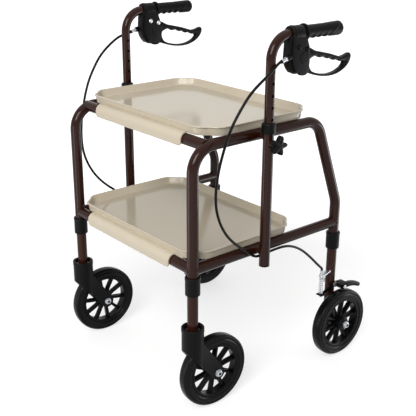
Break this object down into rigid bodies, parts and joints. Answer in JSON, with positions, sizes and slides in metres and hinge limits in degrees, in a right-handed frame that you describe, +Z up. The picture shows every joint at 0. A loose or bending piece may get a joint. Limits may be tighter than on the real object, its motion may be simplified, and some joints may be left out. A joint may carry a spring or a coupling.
{
  "type": "indoor walker with tray",
  "caption": "Wheeled indoor walking aid with a bent tube frame, lift-off trays on crossbars, height-adjustable handles with loop brakes and swivel front casters.",
  "frame": {"origin": "centre of the footprint on the floor", "axes": "+Z up, -Y to the front (casters and tray lips), +Y towards the user, +X to the walker's left as seen from the front right of the picture"},
  "size_m": [0.598, 0.567, 0.8485],
  "materials": {
    "frame_paint": "gloss",
    "leg_paint": "gloss",
    "black_plastic": "satin",
    "rim_plastic": "satin",
    "tyre_rubber": "matte",
    "grip_rubber": "matte",
    "cable_sheath": "satin",
    "arm_paint": "satin",
    "tray_plastic": "semi-gloss",
    "bright_steel": "bright"
  },
  "bodies": {
    "frame": {"side_frame_l": "frame_paint", "side_frame_r": "frame_paint", "lower_rail_l": "frame_paint", "lower_rail_r": "frame_paint", "upper_front_bar": "frame_paint", "upper_rear_bar": "frame_paint", "lower_front_bar": "frame_paint", "lower_rear_bar": "frame_paint", "handle_post_l": "frame_paint", "handle_post_r": "frame_paint", "post_bushes": "black_plastic", "post_end_plugs": "black_plastic", "knob_bosses": "frame_paint", "leg_collars": "black_plastic", "front_leg_l": "leg_paint", "front_leg_r": "leg_paint", "rear_leg_l": "leg_paint", "rear_leg_r": "leg_paint", "caster_stems": "bright_steel", "rear_axles": "bright_steel", "cable_brackets": "bright_steel", "cable_adjusters": "bright_steel", "brake_pivots": "bright_steel", "return_spring_l": "bright_steel", "return_spring_r": "bright_steel", "inner_wire_l": "bright_steel", "inner_wire_r": "bright_steel", "brake_cable_l": "cable_sheath", "brake_cable_r": "cable_sheath"},
    "caster_l": {"caster_fork_l": "black_plastic", "caster_axle_l": "bright_steel"},
    "front_wheel_l": {"front_rim_l": "rim_plastic", "front_tyre_l": "tyre_rubber"},
    "rear_wheel_l": {"rear_rim_l": "rim_plastic", "rear_tyre_l": "tyre_rubber"},
    "brake_arm_l": {"brake_arm_l": "arm_paint"},
    "knob_l": {"star_knob_l": "black_plastic"},
    "handle_l": {"handle_tube_l": "frame_paint", "grip_l": "grip_rubber", "brake_housing_l": "black_plastic", "housing_bolts_l": "bright_steel", "cable_ferrule_l": "bright_steel"},
    "lever_l": {"brake_lever_l": "black_plastic"},
    "caster_r": {"caster_fork_r": "black_plastic", "caster_axle_r": "bright_steel"},
    "front_wheel_r": {"front_rim_r": "rim_plastic", "front_tyre_r": "tyre_rubber"},
    "rear_wheel_r": {"rear_rim_r": "rim_plastic", "rear_tyre_r": "tyre_rubber"},
    "brake_arm_r": {"brake_arm_r": "arm_paint"},
    "knob_r": {"star_knob_r": "black_plastic"},
    "handle_r": {"handle_tube_r": "frame_paint", "grip_r": "grip_rubber", "brake_housing_r": "black_plastic", "housing_bolts_r": "bright_steel", "cable_ferrule_r": "bright_steel"},
    "lever_r": {"brake_lever_r": "black_plastic"},
    "tray_upper": {"tray_upper": "tray_plastic"},
    "tray_lower": {"tray_lower": "tray_plastic"}
  },
  "joints": [
    {"name": "caster_swivel_l", "type": "hinge", "parent": "frame", "child": "caster_l", "pos_m": [0.227, -0.252, 0.2], "axis": [0, 0, 1], "continuous": true},
    {"name": "front_wheel_spin_l", "type": "hinge", "parent": "caster_l", "child": "front_wheel_l", "pos_m": [0.22993, -0.19608, 0.0875], "axis": [0.9986, -0.0523, 0], "continuous": true},
    {"name": "rear_wheel_spin_l", "type": "hinge", "parent": "frame", "child": "rear_wheel_l", "pos_m": [0.2632, 0.196, 0.0875], "axis": [1, 0, 0], "continuous": true},
    {"name": "handle_height_l", "type": "slide", "parent": "frame", "child": "handle_l", "axis": [0, 0, 1], "range_m": [-0.1016, 0.0254], "deforming": ["brake_cable_l"]},
    {"name": "lever_squeeze_l", "type": "hinge", "parent": "handle_l", "child": "lever_l", "pos_m": [0.2607, 0.018, 0.797], "axis": [1, 0, 0], "range_deg": [0, 18], "stiffness_Nm_per_rad": 1.5, "springref_deg": -8.59},
    {"name": "brake_turn_l", "type": "hinge", "parent": "frame", "child": "brake_arm_l", "pos_m": [0.2415, 0.196, 0.185], "axis": [-1, 0, 0], "range_deg": [0, 12], "stiffness_Nm_per_rad": 1.5, "springref_deg": -8.59, "deforming": ["return_spring_l", "inner_wire_l"]},
    {"name": "knob_turn_l", "type": "hinge", "parent": "frame", "child": "knob_l", "pos_m": [0.282, -0.073, 0.607], "axis": [1, 0, 0], "continuous": true},
    {"name": "caster_swivel_r", "type": "hinge", "parent": "frame", "child": "caster_r", "pos_m": [-0.227, -0.252, 0.2], "axis": [0, 0, 1], "continuous": true},
    {"name": "front_wheel_spin_r", "type": "hinge", "parent": "caster_r", "child": "front_wheel_r", "pos_m": [-0.22407, -0.19608, 0.0875], "axis": [0.9986, -0.0523, 0], "continuous": true},
    {"name": "rear_wheel_spin_r", "type": "hinge", "parent": "frame", "child": "rear_wheel_r", "pos_m": [-0.2632, 0.196, 0.0875], "axis": [1, 0, 0], "continuous": true},
    {"name": "handle_height_r", "type": "slide", "parent": "frame", "child": "handle_r", "axis": [0, 0, 1], "range_m": [-0.1016, 0.0254], "deforming": ["brake_cable_r"]},
    {"name": "lever_squeeze_r", "type": "hinge", "parent": "handle_r", "child": "lever_r", "pos_m": [-0.2607, 0.018, 0.797], "axis": [1, 0, 0], "range_deg": [0, 18], "stiffness_Nm_per_rad": 1.5, "springref_deg": -8.59},
    {"name": "brake_turn_r", "type": "hinge", "parent": "frame", "child": "brake_arm_r", "pos_m": [-0.2415, 0.196, 0.185], "axis": [-1, 0, 0], "range_deg": [0, 12], "stiffness_Nm_per_rad": 1.5, "springref_deg": -8.59, "deforming": ["return_spring_r", "inner_wire_r"]},
    {"name": "knob_turn_r", "type": "hinge", "parent": "frame", "child": "knob_r", "pos_m": [-0.282, -0.073, 0.607], "axis": [1, 0, 0], "continuous": true},
    {"name": "tray_lift_upper", "type": "slide", "parent": "frame", "child": "tray_upper", "axis": [0, 0, 1], "range_m": [0, 0.1]},
    {"name": "tray_lift_lower", "type": "slide", "parent": "frame", "child": "tray_lower", "axis": [0, 0, 1], "range_m": [0, 0.1]}
  ],
  "couplings": [
    {"joint": "brake_turn_l", "follows": "lever_squeeze_l", "ratio": 0.66667},
    {"joint": "brake_turn_r", "follows": "lever_squeeze_r", "ratio": 0.66667}
  ]
}
